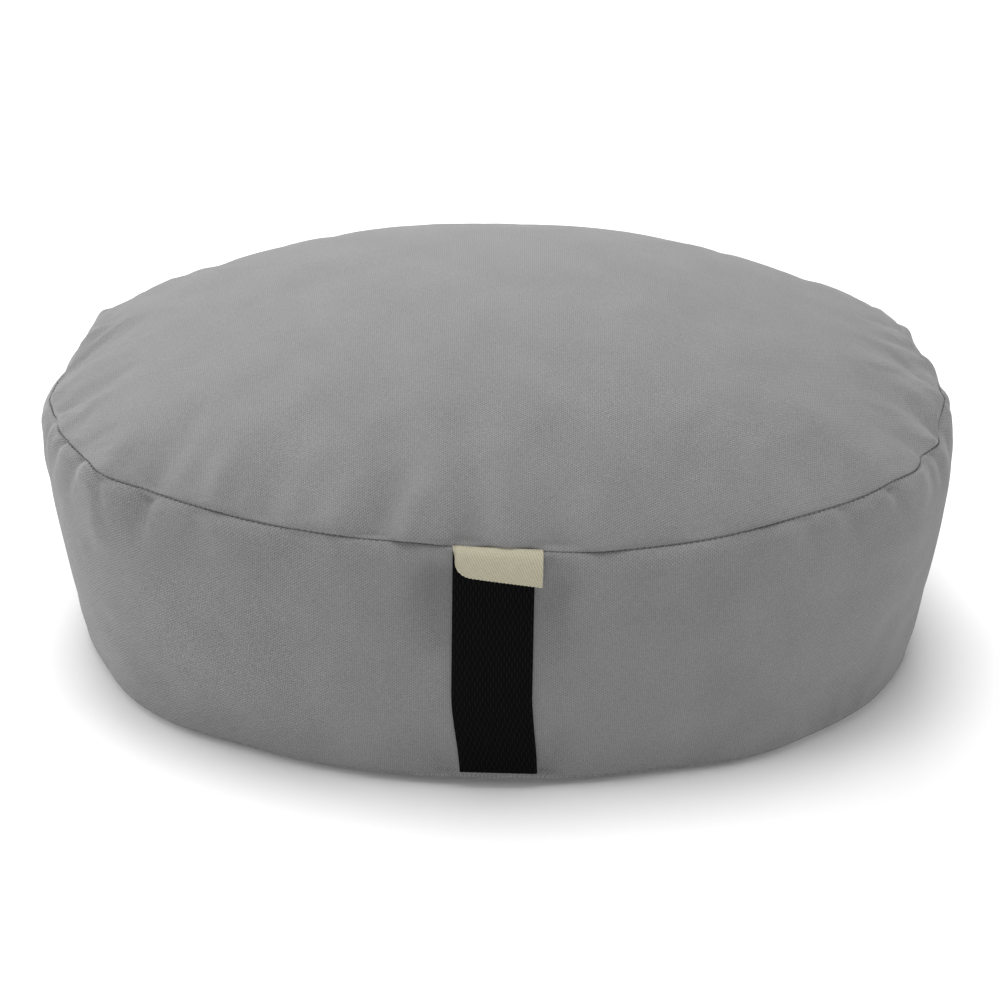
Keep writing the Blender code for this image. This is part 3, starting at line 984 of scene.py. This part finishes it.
def closed_sheet(back, front, cloth):
    """Points, faces and cloth coordinates of a closed sheet between two grids of points."""
    rows, columns = front.shape[:2]
    points = np.concatenate([front.reshape(-1, 3), back.reshape(-1, 3)])
    cloth_at = np.concatenate([cloth.reshape(-1, 2), cloth.reshape(-1, 2)])
    top = rows - 1
    side = columns - 1

    def at(layer, r, c):
        return (layer * rows + r) * columns + c

    faces = []
    for r in range(top):
        for c in range(side):
            faces.append((at(0, r, c), at(0, r, c + 1), at(0, r + 1, c + 1), at(0, r + 1, c)))
            faces.append((at(1, r, c), at(1, r + 1, c), at(1, r + 1, c + 1), at(1, r, c + 1)))
    for r in range(top):
        faces.append((at(0, r, 0), at(0, r + 1, 0), at(1, r + 1, 0), at(1, r, 0)))
        faces.append((at(0, r, side), at(1, r, side), at(1, r + 1, side), at(0, r + 1, side)))
    for c in range(side):
        faces.append((at(0, 0, c), at(1, 0, c), at(1, 0, c + 1), at(0, 0, c + 1)))
        faces.append((at(0, top, c), at(0, top, c + 1), at(1, top, c + 1), at(1, top, c)))
    return points, faces, {"cloth": cloth_at[np.array(faces)]}


def strand_relief(across, along):
    """The webbing's floats: strands side by side, each one over and under in turn."""
    strand = across / STRAND_PITCH
    rounded = np.abs(np.cos(math.pi * strand))
    odd = np.floor(strand + 0.5)
    over = 0.5 + 0.5 * np.cos(math.pi * (along / FLOAT_PITCH + odd))
    return STRAND_RELIEF * (rounded * (FLOAT_LOW + (1 - FLOAT_LOW) * over) - 0.5)


def build_strap(material):
    lowest = band_share(CHANNEL_HALF)
    highest = 1 - band_share(STRAP_TOP_GAP)
    shares = np.linspace(lowest, highest, STRAP_ROWS)
    share, across = np.meshgrid(shares, np.linspace(0, 1, STRAP_COLUMNS), indexing="ij")
    lean = (STRAP_TOP_MIDDLE - STRAP_FOOT_MIDDLE) * smooth(share / STRAP_LEAN_SHARE)
    width = STRAP_WIDTH - STRAP_FOOT_GATHER * (1 - smooth(share / STRAP_GATHER_SHARE))
    x = STRAP_FOOT_MIDDLE + lean + width * (across - 0.5)
    along = share * (SEAM_HEIGHT - FOOT_HEIGHT)
    edge = np.minimum(across, 1 - across) * STRAP_WIDTH
    rounding = STRAP_EDGE_DROP * np.clip(1 - edge / STRAP_EDGE, 0, 1) ** 2
    bumps = strand_relief(across * STRAP_WIDTH, along)
    front = front_point(x, share, SEAT + STRAP_THICK + bumps - rounding)
    back = front_point(x, share, SEAT + 0 * share + rounding)
    cloth = np.stack([across * STRAP_WIDTH, along], -1)
    return new_piece("carry_strap", *closed_sheet(back, front, cloth), material)


def label_length(across):
    """The label's length at a share of its width from the left, with its rounded left corner."""
    inside = np.clip(across * LABEL_WIDTH / LABEL_CORNER, 0, 1)
    drop = LABEL_CORNER_DROP * (1 - np.sqrt(1 - (1 - inside) ** 2))
    teeth = LABEL_TOOTH * np.cos(2 * math.pi * across * LABEL_WIDTH / LABEL_TOOTH_PITCH)
    return LABEL_LENGTH - LABEL_SLOPE * (1 - across) - drop + teeth


def label_layers(length):
    """(run, lift) pairs down the back layer, round the fold and up the front layer."""
    downs = np.linspace(0, 1, LABEL_ROWS)
    turns = np.linspace(0, math.pi, LABEL_FOLD_ROWS + 2)[1:-1]
    inner = LABEL_SLIT / 2
    middle = inner + LABEL_THICK
    straight = length - middle

    def layer(radius):
        runs = [straight * down for down in downs]
        runs += [straight + radius * math.sin(turn) for turn in turns]
        runs += [straight * down for down in reversed(downs)]
        lifts = [middle - radius] * len(downs)
        lifts += [middle - radius * math.cos(turn) for turn in turns]
        lifts += [middle + radius] * len(downs)
        return np.stack([runs, lifts], -1)

    return layer(middle), layer(inner)


def label_points(x, grid):
    """Points in front of the strap, from their runs down the label and their lifts."""
    share = 1 - band_share(grid[..., 0] - LABEL_RISE)
    return front_point(x, share, 2 * SEAT + STRAP_THICK + grid[..., 1])


def build_label(material):
    across = np.linspace(1, 0, LABEL_COLUMNS + 1)
    layers = [label_layers(label_length(share)) for share in across]
    outer = np.array([pair[0] for pair in layers])
    inner = np.array([pair[1] for pair in layers])
    left = LABEL_MIDDLE - LABEL_WIDTH / 2
    x = left + LABEL_WIDTH * np.repeat(across[:, None], outer.shape[1], axis=1)
    way = np.cumsum(np.append([0], length_of(outer[0][1:] - outer[0][:-1])))
    x = x - LABEL_BACK_SHIFT * (1 - smooth(way / way[-1] * 2))
    cloth = np.stack([x, np.repeat(way[None], len(across), axis=0)], -1)
    sheet = closed_sheet(label_points(x, inner), label_points(x, outer), cloth)
    return new_piece("folded_label", *sheet, material)


class Graph:
    """The nodes of one material. Most calls add nodes and give back the last one's output."""

    def __init__(self, name, look):
        self.material = bpy.data.materials.new(name)
        self.material.use_nodes = True
        self.nodes = self.material.node_tree.nodes
        self.links = self.material.node_tree.links
        self.shader = self.nodes["Principled BSDF"]
        for socket, value in look.items():
            self.shader.inputs[socket].default_value = value

    def put(self, value, socket):
        if isinstance(value, bpy.types.NodeSocket):
            self.links.new(value, socket)
        else:
            socket.default_value = value

    def added(self, kind, inputs, **settings):
        """The outputs of a new node. Its inputs are values or other nodes' outputs."""
        node = self.nodes.new("ShaderNode" + kind)
        for name, value in settings.items():
            setattr(node, name, value)
        for socket, value in inputs.items():
            self.put(value, node.inputs[socket])
        return node.outputs

    def math(self, operation, *values):
        return self.added("Math", dict(enumerate(values)), operation=operation)[0]

    def plus(self, first, second):
        return self.math("ADD", first, second)

    def times(self, first, second):
        return self.math("MULTIPLY", first, second)

    def blended(self, *values_and_weights):
        """The sum of values, each times its weight."""
        total = None
        for value, weight in values_and_weights:
            part = value if weight == 1.0 else self.times(value, weight)
            total = part if total is None else self.plus(total, part)
        return total

    def cloth(self, uv_map="cloth"):
        """The cloth coordinates: the two ways in metres, and both as one vector."""
        both = self.added("UVMap", {}, uv_map=uv_map)[0]
        ways = self.added("SeparateXYZ", {0: both})
        return ways[0], ways[1], both

    def place(self):
        return self.added("TexCoord", {})["Object"]

    def stretched(self, vector, factors):
        return self.added("VectorMath", {0: vector, 1: factors}, operation="MULTIPLY")[0]

    def noise(self, vector, scale=1.0, detail=2.0, roughness=0.5):
        inputs = {"Vector": vector, "Scale": scale, "Detail": detail, "Roughness": roughness}
        return self.added("TexNoise", inputs)[0]

    def half_sine(self, turned):
        """The sine of an angle, brought between 0 and 1."""
        return self.math("MULTIPLY_ADD", self.math("SINE", turned), 0.5, 0.5)

    def wave(self, place, pitch):
        """A wave from 0 to 1 along a place, with the pitch in metres."""
        return self.half_sine(self.times(place, 2 * math.pi / pitch))

    def ranged(self, value, low, high, out_low=0.0, out_high=1.0):
        inputs = {"Value": value, "From Min": low, "From Max": high, "To Min": out_low, "To Max": out_high}
        return self.added("MapRange", inputs)[0]

    def mixed(self, share, first, second):
        """A colour between two. The node's colours are its inputs 6 and 7 and its output 2."""
        return self.added("Mix", {"Factor": share, 6: first, 7: second}, data_type="RGBA")[2]

    def bump(self, height, distance, strength):
        inputs = {"Height": height, "Distance": distance, "Strength": strength}
        return self.added("Bump", inputs)[0]

    def finish(self, colour, normal):
        self.links.new(colour, self.shader.inputs["Base Color"])
        self.links.new(normal, self.shader.inputs["Normal"])
        return self.material


def grey(value):
    return (value, value, value, 1)


def greys(values):
    return [grey(value) for value in values]


def canvas_material():
    graph = Graph("canvas", CANVAS_LOOK)
    u, v, both = graph.cloth()
    u = graph.plus(u, graph.times(graph.noise(both, scale=30.0, detail=3.0), CANVAS_WANDER[0]))
    v = graph.plus(v, graph.times(graph.noise(both, scale=34.0, detail=3.0), CANVAS_WANDER[1]))
    warp = graph.times(u, math.pi / WALE_PITCH)
    weft = graph.times(v, math.pi / PICK_PITCH)
    rising = graph.half_sine(graph.math("SUBTRACT", warp, weft))
    falling = graph.half_sine(graph.plus(warp, weft))
    column = graph.half_sine(graph.times(warp, 2.0))
    yarn = graph.blended((rising, 0.4), (falling, 0.25), (column, 0.35))
    long_slubs = graph.noise(graph.stretched(both, (1300, 260, 1)))
    cross_slubs = graph.noise(graph.stretched(both, (260, 1300, 1)))
    slubs = graph.plus(long_slubs, cross_slubs)
    fuzz = graph.noise(both, scale=900.0)
    mottle = graph.noise(both, scale=26.0, detail=4.0, roughness=0.6)
    tone = graph.blended((yarn, 0.42), (slubs, 0.17), (fuzz, 0.28))
    tone = graph.plus(tone, graph.ranged(mottle, 0.3, 0.7, *CANVAS_MOTTLE))
    colour = graph.mixed(tone, *greys(CANVAS_TONES))
    # Painted shade: within half a millimetre of a seam the colour goes to a flat grey, a little darker
    # than the cloth, for the shade in the seam's groove
    seam_shade = graph.ranged(graph.cloth("edge")[0], 0.0, CANVAS_SEAM_SHADE_REACH)
    colour = graph.mixed(seam_shade, grey(CANVAS_SEAM_SHADE_TONE), colour)
    height = graph.blended((yarn, 1.0), (slubs, 0.5))
    normal = graph.bump(height, distance=0.00016, strength=0.9)
    return graph.finish(colour, normal)


def webbing_material():
    graph = Graph("webbing", WEBBING_LOOK)
    u, v, both = graph.cloth()
    fibres = graph.noise(graph.stretched(both, (4000, 500, 1)), detail=3.0)
    strand = graph.times(u, 1 / STRAND_PITCH)
    # Painted shade: the colour darkens between the strands and where a strand goes under, for the shading
    # of the webbing's relief
    rounded = graph.math("ABSOLUTE", graph.math("COSINE", graph.times(strand, math.pi)))
    odd = graph.math("FLOOR", graph.plus(strand, 0.5))
    place = graph.plus(graph.times(v, 1 / FLOAT_PITCH), odd)
    over = graph.half_sine(graph.times(graph.plus(place, 0.5), math.pi))
    weave_shade = graph.times(rounded, graph.plus(graph.times(over, 1 - SUNK_SHADE), SUNK_SHADE))
    tone = graph.blended((weave_shade, 0.75), (fibres, 0.25))
    colour = graph.mixed(tone, *WEBBING_TONES)
    normal = graph.bump(fibres, distance=0.00008, strength=0.7)
    return graph.finish(colour, normal)


def label_material():
    graph = Graph("woven_tape", TAPE_LOOK)
    u, v, both = graph.cloth()
    curve = graph.times(graph.noise(both, scale=45.0, detail=1.0), TAPE_WANDER)
    slant = graph.plus(graph.plus(u, graph.times(v, TAPE_SLANT)), curve)
    rib = graph.wave(slant, TAPE_RIB_PITCH)
    yarn = graph.wave(v, TAPE_PICK_PITCH)
    height = graph.blended((rib, 1.0), (yarn, 0.35))
    slubs = graph.noise(graph.stretched(both, (300, 2600, 1)))
    tone = graph.blended((rib, 0.4), (slubs, 0.6))
    colour = graph.mixed(tone, *TAPE_TONES)
    normal = graph.bump(height, distance=0.0001, strength=0.8)
    return graph.finish(colour, normal)


def thread_and_shade_material():
    # The thread's dark grey also stands for the shade in the gaps of the seam: partly painted shade
    graph = Graph("seam_thread_and_shade", THREAD_LOOK)
    twist = graph.noise(graph.place(), scale=1800.0)
    colour = graph.mixed(twist, *greys(THREAD_AND_SHADE_TONES))
    return graph.finish(colour, graph.bump(twist, distance=0.0001, strength=0.5))


def floor_material():
    graph = Graph("floor", FLOOR_LOOK)
    tone = graph.noise(graph.place(), scale=3.0)
    colour = graph.mixed(tone, *greys(FLOOR_TONES))
    return graph.finish(colour, graph.bump(tone, distance=0.0005, strength=0.02))


def build_floor():
    corners = [(x * FLOOR_HALF, y * FLOOR_HALF, 0) for x, y in ((-1, -1), (1, -1), (1, 1), (-1, 1))]
    floor = new_piece("floor", corners, [(0, 1, 2, 3)], {}, floor_material())


def build_camera():
    data = bpy.data.cameras.new("camera")
    data.sensor_width = SENSOR
    data.sensor_fit = "HORIZONTAL"
    data.lens = LENS
    back = Vector((0, -math.cos(VIEW_ELEVATION), math.sin(VIEW_ELEVATION)))
    right = Vector((1, 0, 0))
    upward = Vector((0, math.sin(VIEW_ELEVATION), math.cos(VIEW_ELEVATION)))
    turned_right = right * math.cos(VIEW_ROLL) + upward * math.sin(VIEW_ROLL)
    turned_up = upward * math.cos(VIEW_ROLL) - right * math.sin(VIEW_ROLL)
    camera = bpy.data.objects.new("camera", data)
    bpy.context.scene.collection.objects.link(camera)
    matrix = Matrix((turned_right, turned_up, back)).transposed().to_4x4()
    matrix.translation = Vector(VIEW_AIM) + back * VIEW_DISTANCE
    camera.matrix_world = matrix
    bpy.context.scene.camera = camera


def area_light(name, place, size, watts):
    data = bpy.data.lights.new(name, "AREA")
    data.shape = "RECTANGLE"
    data.size, data.size_y = size
    data.energy = watts
    light = bpy.data.objects.new(name, data)
    light.location = place
    light.rotation_euler = (Vector(LIGHT_AIM) - Vector(place)).to_track_quat("-Z", "Y").to_euler()
    bpy.context.scene.collection.objects.link(light)


def build_lights():
    world = bpy.data.worlds.new("studio")
    world.use_nodes = True
    background = world.node_tree.nodes["Background"]
    background.inputs["Color"].default_value = (1, 1, 1, 1)
    background.inputs["Strength"].default_value = WORLD_LIGHT
    bpy.context.scene.world = world
    for name, place, size, watts in LIGHTS:
        area_light(name, place, size, watts)
    bpy.context.scene.view_settings.view_transform = "Standard"


def main():
    cover = build_cover(canvas_material())
    stitches = build_stitches(thread_and_shade_material())
    strap = build_strap(webbing_material())
    label = build_label(label_material())
    for piece in (cover, stitches, strap, label):
        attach(piece, "root")
    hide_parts("cushion")
    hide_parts("strap")
    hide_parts("label")
    build_floor()
    build_camera()
    build_lights()


main()
